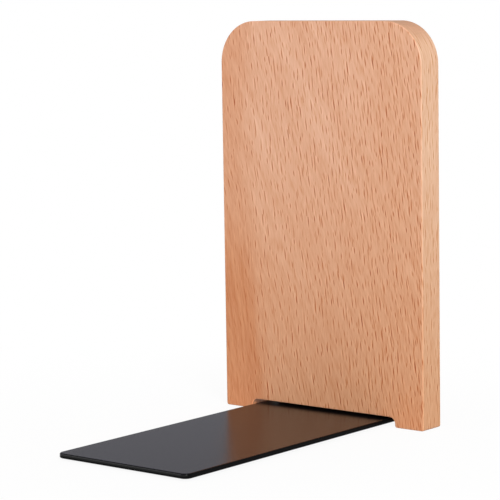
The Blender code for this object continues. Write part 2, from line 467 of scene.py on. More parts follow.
class Graph:
    """Adds nodes to one node tree and links them."""

    def __init__(self, tree: NodeTree) -> None:
        """Work on a tree."""
        self.tree = tree

    def fill(self, node: Node, inputs: dict[str | int, Value]) -> Node:
        """Link a node's inputs to what feeds them, or set their own values.

        Args:
            node: The node.
            inputs: What its inputs take, by name or number.

        Returns:
            The same node.
        """
        for key, value in inputs.items():
            source = value.socket if isinstance(value, Term) else value
            if isinstance(source, NodeSocket):
                self.tree.links.new(source, node.inputs[key])
            else:
                node.inputs[key].default_value = source
        return node

    def add(self, kind: str, inputs: dict | None = None, **settings: object) -> Node:
        """Add a node.

        Args:
            kind: The node's type.
            inputs: What its inputs take, by name or number.
            settings: The node's own settings.

        Returns:
            The new node.
        """
        node = self.tree.nodes.new(kind)
        for name, value in settings.items():
            setattr(node, name, value)
        return self.fill(node, inputs or {})

    def out(
        self, kind: str, inputs: dict | None = None, output: int | str = 0, **settings: object
    ) -> Term:
        """Add a node and take one of its outputs, by number or name."""
        return Term(self, self.add(kind, inputs, **settings).outputs[output])

    def math(self, operation: str, *values: Value) -> Term:
        """Work out a number from up to three others."""
        return self.out("ShaderNodeMath", dict(enumerate(values)), operation=operation)

    def vector(self, operation: str, *values: Value) -> Term:
        """Work out a vector from up to three others."""
        return self.out("ShaderNodeVectorMath", dict(enumerate(values)), operation=operation)

    def scaled(self, vector: Value, factor: Value) -> Term:
        """Multiply a vector by a number."""
        inputs = {"Vector": vector, "Scale": factor}
        return self.out("ShaderNodeVectorMath", inputs, operation="SCALE")

    def joined(self, *values: Value) -> Term:
        """Make a vector from three numbers."""
        return self.out("ShaderNodeCombineXYZ", dict(enumerate(values)))

    def coordinate(self, name: str) -> Term:
        """One of the shaded point's coordinates."""
        return self.out("ShaderNodeTexCoord", output=name)

    def place_in_mm(self) -> Term:
        """The shaded point's place on the object, in millimetres."""
        return self.scaled(self.coordinate("Object"), PER_METRE)

    def facing(self) -> list[Term]:
        """The direction that the shaded point's surface faces, as X, Y and Z."""
        return self.coordinate("Normal").parts()

    def ray(self, kind: str) -> Term:
        """1 where a ray of light is of this kind, and 0 elsewhere."""
        return self.out("ShaderNodeLightPath", output=f"Is {kind} Ray")

    def seen(self) -> Term:
        """1 where a ray comes from the camera, or from a mirror or glass, and 0 elsewhere."""
        return self.ray("Camera").at_least(self.ray("Glossy")).at_least(self.ray("Transmission"))

    def raise_surface(self, shader: Node, height: Value, depth: float) -> None:
        """Give a shader's surface relief, from a height from 0 to 1 and its depth in millimetres."""
        inputs = {"Height": height, "Distance": depth * MM, "Strength": 1.0}
        self.fill(shader, {"Normal": self.out("ShaderNodeBump", inputs)})

    def use(self, tree: NodeTree, inputs: dict[str, Value]) -> list[Term]:
        """Place a shader group and give it its values."""
        node = self.fill(self.add("ShaderNodeGroup", node_tree=tree), inputs)
        return [Term(self, socket) for socket in node.outputs]


def new_group(
    name: str, inputs: Sequence[str], outputs: Sequence[str]
) -> tuple[Graph, dict[str, Term], Node]:
    """Start a shader group of plain numbers.

    Args:
        name: The group's name.
        inputs: The names of its inputs. One that is called Place takes a vector.
        outputs: The names of its outputs.

    Returns:
        A graph on the group, its inputs by name, and its output node.
    """
    tree = bpy.data.node_groups.new(name, "ShaderNodeTree")
    for key in inputs:
        kind = "NodeSocketVector" if key == "Place" else "NodeSocketFloat"
        tree.interface.new_socket(name=key, in_out="INPUT", socket_type=kind)
    for key in outputs:
        tree.interface.new_socket(name=key, in_out="OUTPUT", socket_type="NodeSocketFloat")
    graph = Graph(tree)
    given = graph.add("NodeGroupInput")
    terms = {key: Term(graph, given.outputs[key]) for key in inputs}
    return graph, terms, graph.add("NodeGroupOutput")


def new_material(name: str) -> tuple[Material, Graph, Node]:
    """Start a material.

    Args:
        name: The material's name.

    Returns:
        The material, a graph on its nodes, and its Principled shader.
    """
    material = bpy.data.materials.new(name)
    material.use_nodes = True
    shader = material.node_tree.nodes["Principled BSDF"]
    return material, Graph(material.node_tree), shader


@dataclass(frozen=True)
class Pattern:
    """Soft noise: the size of its features along X, Y and Z in millimetres, and its detail."""

    size: Point
    detail: float = 2.0

    def draw(self, place: Term) -> Term:
        """Draw the pattern, about 0.5 in the middle."""
        return place.graph.vector("DIVIDE", place, self.size).noise(self.detail)


@dataclass(frozen=True)
class FleckShape:
    """How a wood's ray flecks are drawn: one thin spindle near the centre of each cell.

    Lengths are shares of a fleck's half width or half length, and the shear is a share of a cell.
    """

    randomness: float = 0.75
    shear: float = 0.618
    lengths: Span = (0.5, 1.35)
    strengths: Span = (0.5, 1.0)
    edge: Span = (1.1, 0.35)
    flank_start: Span = (1.0, 2.2)
    flank_end: Span = (5.0, 3.2)
    flank_tip: Span = (1.0, 0.3)
    flank_share: float = 0.14

    def group(self) -> NodeTree:
        """Build the group that draws the flecks.

        A spindle is darkest where |across| / half width + (along / half length) ** 2 is 0, and
        fades out about where that reaches 1. A pale strip, below 0 in the mask, lies on both
        sides of it. Each cell gives its own length, strength and chance of being bare. Each
        column of cells stands a part of a cell higher than the one before it, so that no rows
        show.

        Returns:
            The group, whose output is the flecks' mask.
        """
        names = (
            "Across", "Along", "Spacing", "Reach", "Half Width", "Half Length", "Bare Share", "Seed",
        )
        graph, given, result = new_group("ray_flecks", names, ["Mask"])
        cell_across = given["Across"] / given["Spacing"] + given["Seed"]
        cell_along = given["Along"] / given["Reach"] + given["Seed"] + cell_across * self.shear
        place = graph.joined(cell_across, cell_along, 0.0)
        cells = graph.add(
            "ShaderNodeTexVoronoi", {"Vector": place, "Scale": 1.0, "Randomness": self.randomness},
            voronoi_dimensions="2D", feature="F1",
        )
        across, along, _ = graph.vector("SUBTRACT", place, cells.outputs["Position"]).parts()
        along = along - across * self.shear
        chance, strength, length = Term(graph, cells.outputs["Color"]).parts()
        beside = abs(across * given["Spacing"] / given["Half Width"])
        along = along * given["Reach"] / given["Half Length"]
        ending = (along / length.between(*self.lengths)) ** 2.0
        spindle = (beside + ending).ease(*self.edge)
        flank = beside.ease(*self.flank_start) * beside.ease(*self.flank_end)
        flank = flank * ending.ease(*self.flank_tip)
        shown = (chance > given["Bare Share"]) * strength.between(*self.strengths)
        graph.fill(result, {"Mask": (spindle - flank * self.flank_share) * shown})
        return graph.tree


@dataclass(frozen=True)
class Flecks:
    """One kind of ray fleck: its sizes in millimetres, and how strongly it marks the wood."""

    spacing: float
    reach: float
    half_width: float
    half_length: float
    bare_share: float
    seed: float
    strength: float

    def mask(self, tree: NodeTree, across: Term, along: Term, stretch: Term) -> Term:
        """Put the fleck group in a material.

        Args:
            tree: The group that draws the flecks.
            across: The place across the grain.
            along: The place along the grain.
            stretch: How far across is stretched there, which the flecks' width makes up for.

        Returns:
            The flecks' mask, from 0 to this kind's strength.
        """
        sizes = {
            "Across": across, "Along": along, "Spacing": self.spacing, "Reach": self.reach,
            "Half Width": stretch * self.half_width, "Half Length": self.half_length,
            "Bare Share": self.bare_share, "Seed": self.seed,
        }
        return stretch.graph.use(tree, sizes)[0] * self.strength


@dataclass(frozen=True)
class OrangeBand:
    """The orange band along the front's left edge, and painted shade at the right foot. Places are X
    and heights Z, in millimetres.

    Of each pair of edges, the first holds at the top of the board and the second at its foot.
    """

    inner_edges: Span = (-28.0, -26.5)
    outer_edges: Span = (-46.0, -33.5)
    drift: Pattern = Pattern((7.0, 7.0, 90.0))
    drift_reach: float = 16.0
    deep_heights: Span = (92.0, 45.0)
    upper_share: float = 0.38
    top_heights: Span = (110.0, 140.0)
    top_gain: float = 0.16
    # Painted shade: the front's right foot is darkened towards orange near the floor.
    foot_shade_places: Span = (26.0, 42.0)
    foot_shade_heights: Span = (24.0, 2.0)
    foot_shade_share: float = 0.45

    def share(self, place: Term, low: Term) -> Term:
        """Work out how orange a point is.

        The band's inner edge wanders, and the band widens and deepens downwards. The right foot's
        corner is darkened towards orange as painted shade near the floor.

        Args:
            place: The point's place, in millimetres.
            low: How low it lies on the board, from 0 to 1.

        Returns:
            How orange it is, from 0 to 1.
        """
        x, _, z = place.parts()
        wandering = x + self.drift.draw(place).swing(self.drift_reach)
        inner, outer = low.between(*self.inner_edges), low.between(*self.outer_edges)
        deep = z.ease(*self.deep_heights).between(self.upper_share, 1.0)
        deep = deep + z.ease(*self.top_heights) * self.top_gain
        # Painted shade at the right foot, near the floor.
        corner = z.ease(*self.foot_shade_heights) * x.ease(*self.foot_shade_places)
        return wandering.ease(inner, outer) * deep + corner * self.foot_shade_share


@dataclass(frozen=True)
class BeechFinish:
    """Steamed beech, sanded smooth, with its grain upright. Lengths are in millimetres.

    Flecks, streaks and a faint figure lean to one side on the front and the back. A span gives
    where a change starts and where it ends: a place is X, a height is Z, and a turn is how
    squarely the surface faces one way. Stain and bleach are what the deepest mark and the
    palest streak leave of red, green and blue.
    """

    pale: Colour = (226, 174, 143)
    rosy: Colour = (220, 164, 131)
    warm: Colour = (218, 157, 117)
    orange: Colour = (207, 137, 93)
    side_high: Colour = (226, 181, 148)
    side_low: Colour = (209, 153, 111)
    end_grain: Colour = (208, 158, 125)
    stain: Point = (0.50, 0.19, 0.055)
    bleach: Point = (1.88, 2.85, 3.45)

    band: OrangeBand = OrangeBand()
    # Heights over which the front turns warmer and darker downwards: partly the wood's colour,
    # partly painted shade towards the foot.
    low_heights: Span = (140.0, -10.0)
    side_heights: Span = (125.0, -20.0)
    right_places: Span = (0.0, 45.0)
    right_warmth: float = 0.30
    mottle: Pattern = Pattern((11.0, 11.0, 60.0))
    mottle_range: Span = (0.25, 0.75)

    end_patterns: tuple[tuple[Pattern, float], ...] = (
        (Pattern((0.3, 0.3, 2.0), 1.0), -0.4),
        (Pattern((0.6, 9.0, 9.0), 1.0), -0.32),
        (Pattern((40.0, 1.6, 60.0), 1.0), 0.2),
    )
    end_turn: Span = (0.4, 0.98)
    end_share: float = 0.8

    half_board: float = 50.0
    middle: float = 80.0
    lean: float = 0.125
    crowding: float = 0.26
    side_limit: float = 0.7
    back_shift: float = 137.0
    side_shift: float = 511.0
    wave: Pattern = Pattern((30.0, 30.0, 24.0), 1.0)
    wave_depth: float = 2.2
    side_turn: Span = (0.3, 0.95)
    side_places: Span = (40.0, 45.0)

    kinds: tuple[Flecks, ...] = (
        Flecks(2.5, 6.8, 0.25, 2.6, 0.10, 3.1, 0.93),
        Flecks(1.9, 5.6, 0.22, 1.75, 0.45, 17.7, 0.42),
        Flecks(8.0, 17.0, 0.24, 4.8, 0.30, 29.3, 0.78),
    )
    lines: Pattern = Pattern((1.8, 1.0, 30.0), 1.0)
    line_range: Span = (0.25, 0.6)
    least_marks: float = 0.5
    band_fading: float = 0.6
    side_fading: float = 0.25

    fibres: Pattern = Pattern((0.45, 1.0, 6.0))
    fibre_depth: float = 0.55
    streaks: Pattern = Pattern((1.3, 1.0, 24.0))
    streak_depth: float = 0.25
    streak_lean: float = 0.30
    upright_streaks: Pattern = Pattern((1.6, 1.0, 34.0), 3.0)
    upright_places: Span = (-30.0, -42.0)
    upright_heights: Span = (112.0, 62.0)
    upright_gain: float = 1.7
    figure: Pattern = Pattern((1.7, 1.7, 20.0))
    figure_depth: float = 0.22
    slant: float = 0.5

    # Painted highlight on the rounded edges, as gains of red, green and blue, made stronger along
    # the recess's edges.
    arris_highlight_gain: Point = (0.11, 0.13, 0.17)
    arris_peak: float = 0.25
    recess_highlight_gain: float = 4.0
    recess_places: Span = (39.0, 38.0)
    recess_heights: Span = (6.5, 5.5)

    gloss: float = 0.35
    roughness: float = 0.44
    roughness_swing: float = 0.12
    end_roughness: float = 0.35
    bump_depth: float = 0.004
    fleck_dip: float = 0.8

    def aslant(self, place: Term) -> Term:
        """Shift a place sideways with its height."""
        x, y, z = place.parts()
        return place.graph.joined(x + z * self.slant, y, z)

    def grain_place(self, place: Term, facing_y: Term, on_side: Term) -> tuple[Term, Term, Term]:
        """Work out where a point lies across the grain.

        On the front and the back that is X, leaning with the height. Round the rim it is Y.
        Each face reads its own part of the pattern, and a slow wave bends all the grain lines a
        little. For the flecks across is crowded towards one side, as it plus crowding times its
        square over half of the board's width.

        Args:
            place: The point's place, in millimetres.
            facing_y: How far its surface faces backwards.
            on_side: 1 round the rim, and 0 on the front and the back.

        Returns:
            Across, across for the flecks, and how far that is stretched.
        """
        x, y, z = place.parts()
        leaning = x + (z - self.middle) * self.lean
        on_face = leaning + (facing_y > 0.0) * self.back_shift
        across = on_side.mixed(on_face, y + self.side_shift)
        across = across + self.wave.draw(place) * self.wave_depth
        rise = leaning * (self.crowding / self.half_board) * (1.0 - on_side)
        return across, across + rise * leaning, rise * 2.0 + 1.0

    def face_colour(self, place: Term, side_share: Term) -> Term:
        """Give the wood's slow changes of colour.

        The front is mottled aslant, warmer and darker low down, partly its own colour and partly
        painted shade towards the foot, warmer towards the right too, and orange in its band. The
        sides are paler.

        Args:
            place: The point's place, in millimetres.
            side_share: 1 on the board's narrow sides, and 0 on the front and the back.

        Returns:
            The colour.
        """
        x, _, z = place.parts()
        low = z.ease(*self.low_heights)
        mottle = self.mottle.draw(self.aslant(place)).ease(*self.mottle_range)
        right = x.ease(*self.right_places) * self.right_warmth
        colour = mottle.blend(linear(self.pale), linear(self.rosy))
        # Warmer and darker low down: partly the wood's colour, partly painted shade towards the
        # foot.
        colour = (right * (1.0 - low) + low).blend(colour, linear(self.warm))
        colour = self.band.share(place, low).blend(colour, linear(self.orange))
        side = z.ease(*self.side_heights).blend(linear(self.side_high), linear(self.side_low))
        return side_share.blend(colour, side)

    def end_colour(self, place: Term) -> Term:
        """Give the end grain's colour: pores, rays and rings swing its tone about 1."""
        swings = [pattern.draw(place).swing(depth) for pattern, depth in self.end_patterns]
        return place.graph.scaled(linear(self.end_grain)[:3], sum(swings) + 1.0)

    def painted_arris_highlight(self, place: Term, facing_y: Term) -> Term:
        """Work out the painted highlight that pales the rounded edges, most of all over the recess.

        Args:
            place: The point's place, in millimetres.
            facing_y: How far its surface faces backwards.

        Returns:
            What the colour is multiplied by.
        """
        x, _, z = place.parts()
        squarely = facing_y ** 2.0
        edge_highlight = squarely * (1.0 - squarely) / self.arris_peak
        recess = abs(x).ease(*self.recess_places) * z.ease(*self.recess_heights)
        edge_highlight = edge_highlight * (recess * self.recess_highlight_gain + 1.0)
        return place.graph.joined(*[edge_highlight * share + 1.0 for share in self.arris_highlight_gain])

    def material(self, flecks: NodeTree) -> Material:
        """Make the material.

        Args:
            flecks: The group that draws ray flecks.

        Returns:
            The beech material.
        """
        material, graph, shader = new_material("beech")
        place = graph.place_in_mm()
        x, _, z = place.parts()
        facing_x, facing_y, facing_z = graph.facing()
        on_side = abs(facing_y) < self.side_limit
        on_end = abs(facing_z).ease(*self.end_turn)
        side_share = abs(facing_x).ease(*self.side_turn) * abs(x).ease(*self.side_places)
        upright = x.ease(*self.upright_places) * z.ease(*self.upright_heights)

        across, crowded, stretch = self.grain_place(place, facing_y, on_side)
        grain = graph.joined(across, 0.0, z)
        leaning = across + z * on_side.between(self.streak_lean, 0.0)
        streaming = graph.joined(leaning, 0.0, z)
        streaks = upright.mixed(self.streaks.draw(streaming), self.upright_streaks.draw(grain))
        fibres = self.fibres.draw(grain)
        figure = self.figure.draw(self.aslant(place))

        marks = sum(kind.mask(flecks, crowded, z, stretch) for kind in self.kinds)
        lines = self.lines.draw(streaming).ease(*self.line_range)
        marks = marks * lines.between(self.least_marks, 1.0)
        marks = marks * (1.0 - upright * self.band_fading) * (1.0 - on_side * self.side_fading)
        marks = marks * (1.0 - on_end)

        depth = marks + fibres.swing(self.fibre_depth)
        depth = depth + streaks.swing(self.streak_depth) * (upright * self.upright_gain + 1.0)
        depth = depth + figure.swing(self.figure_depth) * (1.0 - on_side)
        dark, light = depth.at_least(0.0), (0.0 - depth).at_least(0.0)
        stained = graph.joined(*[share ** dark for share in self.stain])
        bleached = graph.joined(*[share ** light for share in self.bleach])
        colour = self.face_colour(place, side_share).times(stained).times(bleached)
        colour = (on_end * self.end_share).blend(colour, self.end_colour(place))
        # Painted highlight along the rounded edges, strongest at the recess.
        colour = colour.times(self.painted_arris_highlight(place, facing_y))

        roughness = streaks.swing(self.roughness_swing) + self.roughness
        graph.raise_surface(shader, fibres - marks * self.fleck_dip, self.bump_depth)
        graph.fill(shader, {
            "Base Color": colour, "Roughness": roughness + on_end * self.end_roughness,
            "Specular IOR Level": self.gloss,
        })
        return material


def fine_grain_group() -> NodeTree:
    """Build the group for a coating's or a moulding's skin: soft dimples with a fine grain on them.

    Returns:
        The group, whose outputs are the skin's height and a mask of wide patches.
    """
    names = ("Place", "Dimple Size", "Grain Size", "Grain Share")
    graph, given, result = new_group("fine_grain", names, ["Height", "Patch"])
    dimple_size = given["Dimple Size"]
    dimples, grain, patch = [
        graph.scaled(given["Place"], 1.0 / size).noise()
        for size in (dimple_size, given["Grain Size"], dimple_size * DIMPLES_TO_A_PATCH)
    ]
    graph.fill(result, {"Height": dimples + grain * given["Grain Share"], "Patch": patch})
    return graph.tree


@dataclass(frozen=True)
class FineFinish:
    """A skin with a fine grain, whose tone and roughness drift. Lengths are in millimetres."""

    name: str
    colour: Colour
    tones: Span
    roughness: float
    roughness_swing: float
    dimple_size: float
    grain_size: float
    grain_share: float
    bump_depth: float
    metallic: float = 0.0
    rough_by_height: bool = False

    def start(self, grain: NodeTree) -> tuple[Material, Graph, Node]:
        """Make the material with its relief, colour and roughness.

        Args:
            grain: The fine grain group.

        Returns:
            The material, a graph on its nodes, and its Principled shader.
        """
        material, graph, shader = new_material(self.name)
        height, patch = graph.use(grain, {
            "Place": graph.place_in_mm(), "Dimple Size": self.dimple_size,
            "Grain Size": self.grain_size, "Grain Share": self.grain_share,
        })
        tone = patch.between(*self.tones)
        roughness = (height if self.rough_by_height else patch).swing(self.roughness_swing)
        graph.raise_surface(shader, height, self.bump_depth)
        graph.fill(shader, {
            "Base Color": graph.scaled(linear(self.colour)[:3], tone),
            "Roughness": roughness + self.roughness, "Metallic": self.metallic,
        })
        return material, graph, shader

    def material(self, grain: NodeTree) -> Material:
        """Make the material from the fine grain group."""
        return self.start(grain)[0]


@dataclass(frozen=True)
class PowderCoatFinish(FineFinish):
    """Semi-gloss black powder coat, with the faint dimples that it cures with."""

    name: str = "black_powder_coat"
    colour: Colour = (11, 11, 12)
    tones: Span = (0.85, 1.15)
    roughness: float = 0.24
    roughness_swing: float = 0.08
    dimple_size: float = 0.9
    grain_size: float = 0.25
    grain_share: float = 0.15
    bump_depth: float = 0.006
    ior: float = 1.28
    edge_gloss: float = 0.2
    flat_turn: Span = (0.3, 0.9)
    lip_turn: Span = (-0.4, -0.8)
    lip_heights: Span = (1.7, 2.2)

    def material(self, grain: NodeTree) -> Material:
        """Make the material.

        The gloss is a clear layer on top. It is thin round the sheet's cut edges, but not on the
        upper half of the front one.

        Args:
            grain: The fine grain group.

        Returns:
            The powder coat material.
        """
        material, graph, shader = self.start(grain)
        _, facing_y, facing_z = graph.facing()
        _, _, height = graph.place_in_mm().parts()
        flat = abs(facing_z).at_least(facing_y).ease(*self.flat_turn)
        lip = facing_y.ease(*self.lip_turn) * height.ease(*self.lip_heights)
        graph.fill(shader, {
            "Coat Weight": flat.at_least(lip).between(self.edge_gloss, 1.0), "Coat IOR": self.ior,
            "Coat Roughness": self.roughness, "Specular IOR Level": 0.0,
        })
        return material


# Zinc-plated steel, as on a common wood screw, and dull black anti-slip rubber.
ZINC_FINISH = FineFinish(
    name="zinc_plated_steel", colour=(200, 202, 206), tones=(0.8, 1.15), roughness=0.3,
    roughness_swing=0.2, dimple_size=0.35, grain_size=0.08, grain_share=0.5, bump_depth=0.003,
    metallic=1.0,
)
RUBBER_FINISH = FineFinish(
    name="anti_slip_rubber", colour=(38, 38, 40), tones=(0.7, 1.3), roughness=0.82,
    roughness_swing=0.1, dimple_size=0.5, grain_size=0.12, grain_share=0.6, bump_depth=0.03,
    rough_by_height=True,
)


@dataclass(frozen=True)
class Piece:
    """A finer shape that stands for one solid of the frame."""

    node: str

    @property
    def box(self) -> Box:
        """Where the solid lies."""
        return Box(*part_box(self.node))


@dataclass(frozen=True)
class Screw(Piece):
    """A countersunk wood screw that holds the leg to the board."""

    thread_radius: float = 1.5 * MM
    core_radius: float = 1.05 * MM
    pitch: float = 1.2 * MM
    ridge_share: float = 0.5
    land_share: float = 0.1875
    tip_length: float = 2.5 * MM
    tip_power: float = 0.8
    head_land: float = 0.2 * MM
    head_edge: float = 0.06 * MM
    drive_span: float = 3.5 * MM
    drive_width: float = 0.85 * MM
    drive_depth: float = 1.5 * MM
    drive_taper: float = 0.45
    fit_gap: float = 0.3 * MM
    overrun: float = 1.0 * MM
    sides: int = 96
    rows_per_pitch: int = 12

    def place(self, own: np.ndarray) -> np.ndarray:
        """Turn the screw's own axes into places in space, with its head's face at the back."""
        seat = np.array([self.box.centre.x, self.box.high.y, self.box.centre.z])
        return seat + own[..., [0, 2, 1]]

    def body_profile(self) -> np.ndarray:
        """Work out the screw's radius all round it, row by row, from its head's face to its tip.

        Below the neck the radius is core + (thread - core) * crest, where the crest is a ridge
        with sloping flanks that climbs one pitch in a turn, and both shrink towards the tip.

        Returns:
            Rows x sides x (radius, height), with the head's face at a height of 0.
        """
        head_radius, length = self.box.size.x / 2, self.box.size.y
        neck = self.head_land + head_radius - self.core_radius
        rows = int((length - neck) / self.pitch * self.rows_per_pitch)
        depth = np.linspace(neck, length, rows)[:, None]
        turn = np.arange(self.sides)[None, :] / self.sides
        phase = (depth / self.pitch - turn) % 1.0
        off_ridge = np.abs(2 * phase - 1)
        crest = np.clip((self.ridge_share - off_ridge) / (self.ridge_share - self.land_share), 0, 1)
        crest = crest * np.clip((depth - neck) / self.pitch, 0, 1)
        taper = np.clip((length - depth) / self.tip_length, 0, 1) ** self.tip_power
        radius = taper * (self.core_radius + (self.thread_radius - self.core_radius) * crest)
        shank = np.stack([radius, np.broadcast_to(-depth, radius.shape)], axis=2)
        head = np.array([
            (0, 0),
            (head_radius - self.head_edge, 0),
            (head_radius, -self.head_edge),
            (head_radius, -self.head_land),
        ])
        head = np.broadcast_to(head[:, None], (len(head), self.sides, 2))
        return np.concatenate([head, shank])

    def drive_cutter(self) -> Object:
        """Make the cross that cuts the drive: a twelve-cornered star, smaller at its bottom.

        Returns:
            The closed cutter.
        """
        skin = Skin("drive_cutter")
        arm, half = self.drive_span / 2, self.drive_width / 2
        quarter = np.array([(arm, -half), (arm, half), (half, half)])
        turns = [Matrix.Rotation(step * QUARTER_TURN, 2) for step in range(4)]
        star = np.concatenate([quarter @ np.array(turn).T for turn in turns])
        levels = ((self.drive_depth, self.drive_taper), (0.0, 1.0), (-self.overrun, 1.0))
        rows = [
            np.concatenate([star * scale, np.full((len(star), 1), -depth)], axis=1)
            for depth, scale in levels
        ]
        net = self.place(np.stack(rows))
        skin.add_net(net, wraps=True)
        skin.add_fan(net[0], self.place(np.array([0, 0, -self.drive_depth])))
        skin.add_fan(net[-1], self.place(np.array([0, 0, self.overrun])))
        return skin.build()

    def hole_cutter(self, profile: Sequence[Span]) -> Object:
        """Make a turned cutter on the screw's axis.

        Args:
            profile: Its (radius, height) points, with the head's face at a height of 0.

        Returns:
            The closed cutter.
        """
        skin = Skin("hole_cutter")
        skin.add_net(turned(np.array(profile), self.sides, self.place), wraps=True)
        return skin.build()

    def countersink(self, thickness: float) -> Object:
        """Make the cutter for the leg's hole, which follows the head with a gap all round.

        Args:
            thickness: The leg's thickness, which the hole goes through.

        Returns:
            The closed cutter.
        """
        head = self.box.size.x / 2 + self.fit_gap
        hole, end = self.thread_radius + self.fit_gap, -thickness - self.overrun
        return self.hole_cutter([
            (0, self.overrun), (head, self.overrun), (head, -self.head_land),
            (hole, -self.head_land - (head - hole)), (hole, end), (0, end),
        ])

    def pilot(self, start: float) -> Object:
        """Make the cutter for the board's pilot hole.

        Args:
            start: How far below the head's face it starts.

        Returns:
            The closed cutter.
        """
        hole, end = self.thread_radius + self.fit_gap, -self.box.size.y - self.fit_gap
        return self.hole_cutter([(0, -start), (hole, -start), (hole, end), (0, end)])

    def build(self, material: Material) -> None:
        """Make the screw.

        Args:
            material: Its material.
        """
        skin = Skin(self.node + "_body")
        skin.add_net(turned(self.body_profile(), self.sides, self.place), wraps=True)
        piece = skin.build()
        carve(piece, [self.drive_cutter()])
        finish_piece(piece, self.node, material)


@dataclass(frozen=True)
class Board(Piece):
    """The beech board, which stands on two feet beside a shallow recess."""

    top_radius: float = 17.0 * MM
    foot_radius: float = 1.0 * MM
    arris_radius: float = 0.5 * MM
    cutter_radius: float = 2.6 * MM
    headroom: float = 1.0 * MM
    recess_clearance: float = 4.2 * MM
    arc_steps: int = 36
    small_steps: int = 12
    arris_segments: int = 8
    spacing: float = 6.0 * MM

    def outline(self, sheet: Sheet) -> Outline:
        """Work out the board's outline, in X and Z, from the middle of the recess's ceiling.

        The recess has round corners, as its cutter leaves them, and so have both feet.

        Args:
            sheet: The steel angle.

        Returns:
            The right half of the outline, and then that half mirrored.
        """
        width, height = self.box.size.x / 2, self.box.size.z
        foot, cutter, top = self.foot_radius, self.cutter_radius, self.top_radius
        foot_start = sheet.box.size.x / 2 + self.recess_clearance
        ceiling = sheet.box.low.z + sheet.thickness + self.headroom
        small = self.small_steps
        stretches = [
            Outline.arc((foot_start - cutter, ceiling - cutter), cutter, 1, 0, small, hollow=True),
            Outline.arc((foot_start + foot, foot), foot, 2, 3, small),
            Outline.arc((width - foot, foot), foot, -1, 0, small),
            Outline.arc((width - top, height - top), top, 0, 1, self.arc_steps),
        ]
        half = stretches[0]
        for stretch in stretches[1:]:
            half = half.joined(stretch, self.spacing)
        return half.joined(half.mirrored(), self.spacing)

    def place(self, own: np.ndarray) -> np.ndarray:
        """Stand the slab upright: its height runs back from the board's front face."""
        return np.array([0, self.box.low.y, 0]) + own[..., [0, 2, 1]]

    def build(self, material: Material, sheet: Sheet, screws: Sequence[Screw]) -> None:
        """Make the board, with a pilot hole for each screw.

        Args:
            material: Its material.
            sheet: The steel angle.
            screws: The screws.
        """
        skin = Skin(self.node + "_body")
        slab(
            skin, self.outline(sheet), self.box.size.y, self.arris_radius, self.arris_segments,
            CapStyle.SINGLE, self.place,
        )
        piece = skin.build()
        carve(piece, [screw.pilot(sheet.thickness / 2) for screw in screws])
        finish_piece(piece, self.node, material)


@dataclass(frozen=True)
class Sheet(Piece):
    """The steel angle: a long foot under the books, a bend, and a short leg behind the board."""

    thickness: float = 2.0 * MM
    inner_radius: float = 1.5 * MM
    corner_radius: float = 3.0 * MM
    edge_radius: float = 0.6 * MM
    corner_steps: int = 14
    edge_segments: int = 6
    bend_steps: int = 20
    spacing: float = 8.0 * MM

    def outline(self) -> tuple[Outline, float, float]:
        """Work out the flat sheet's outline, before it is bent.

        Returns:
            The outline across and along the sheet, and where along it the bend starts and ends.
        """
        outer = self.inner_radius + self.thickness
        bend_start = self.box.size.y - outer
        bend_end = bend_start + QUARTER_TURN * (self.inner_radius + self.thickness / 2)
        length = bend_end + self.box.size.z - outer
        side = self.box.size.x / 2
        corner, steps = self.corner_radius, self.corner_steps
        front = Outline.arc((side - corner, corner), corner, -1, 0, steps)
        top = Outline.arc((side - corner, length - corner), corner, 0, 1, steps)
        along = np.linspace(bend_start, bend_end, self.bend_steps + 1)
        points = np.stack([np.full(len(along), side), along], axis=1)
        bend = Outline(points, np.tile(np.array([1.0, 0.0]), (len(along), 1)))
        half = front.joined(bend, self.spacing).joined(top, self.spacing)
        return half.joined(half.mirrored(), self.box.size.x), bend_start, bend_end

    def bender(self, start: float, end: float) -> Placing:
        """Make the mapping that bends the flat sheet upwards.

        Along the bend, a point at a height h over the sheet's outer face lies outer radius - h
        from the bend's centre, at an angle that grows evenly to a quarter turn.

        Args:
            start: Where along the flat sheet the bend starts.
            end: Where it ends.

        Returns:
            A function from (across, along, height) to places in space.
        """
        outer, origin = self.inner_radius + self.thickness, self.box.low

        def place(own: np.ndarray) -> np.ndarray:
            """Bend points of the flat sheet, as (across, along, height)."""
            across, along, height = np.moveaxis(own, -1, 0)
            angle = np.clip((along - start) / (end - start), 0, 1) * QUARTER_TURN
            radius = outer - height
            back = np.minimum(along, start) + radius * np.sin(angle)
            up = outer - radius * np.cos(angle) + np.maximum(along - end, 0)
            return np.stack([across, origin.y + back, origin.z + up], axis=-1)

        return place

    def build(self, material: Material, screws: Sequence[Screw]) -> None:
        """Make the sheet, with a countersunk hole for each screw.

        Args:
            material: Its material.
            screws: The screws.
        """
        skin = Skin(self.node + "_body")
        outline, start, end = self.outline()
        slab(
            skin, outline, self.thickness, self.edge_radius, self.edge_segments, CapStyle.LADDER,
            self.bender(start, end),
        )
        piece = skin.build()
        carve(piece, [screw.countersink(self.thickness) for screw in screws])
        finish_piece(piece, self.node, material)


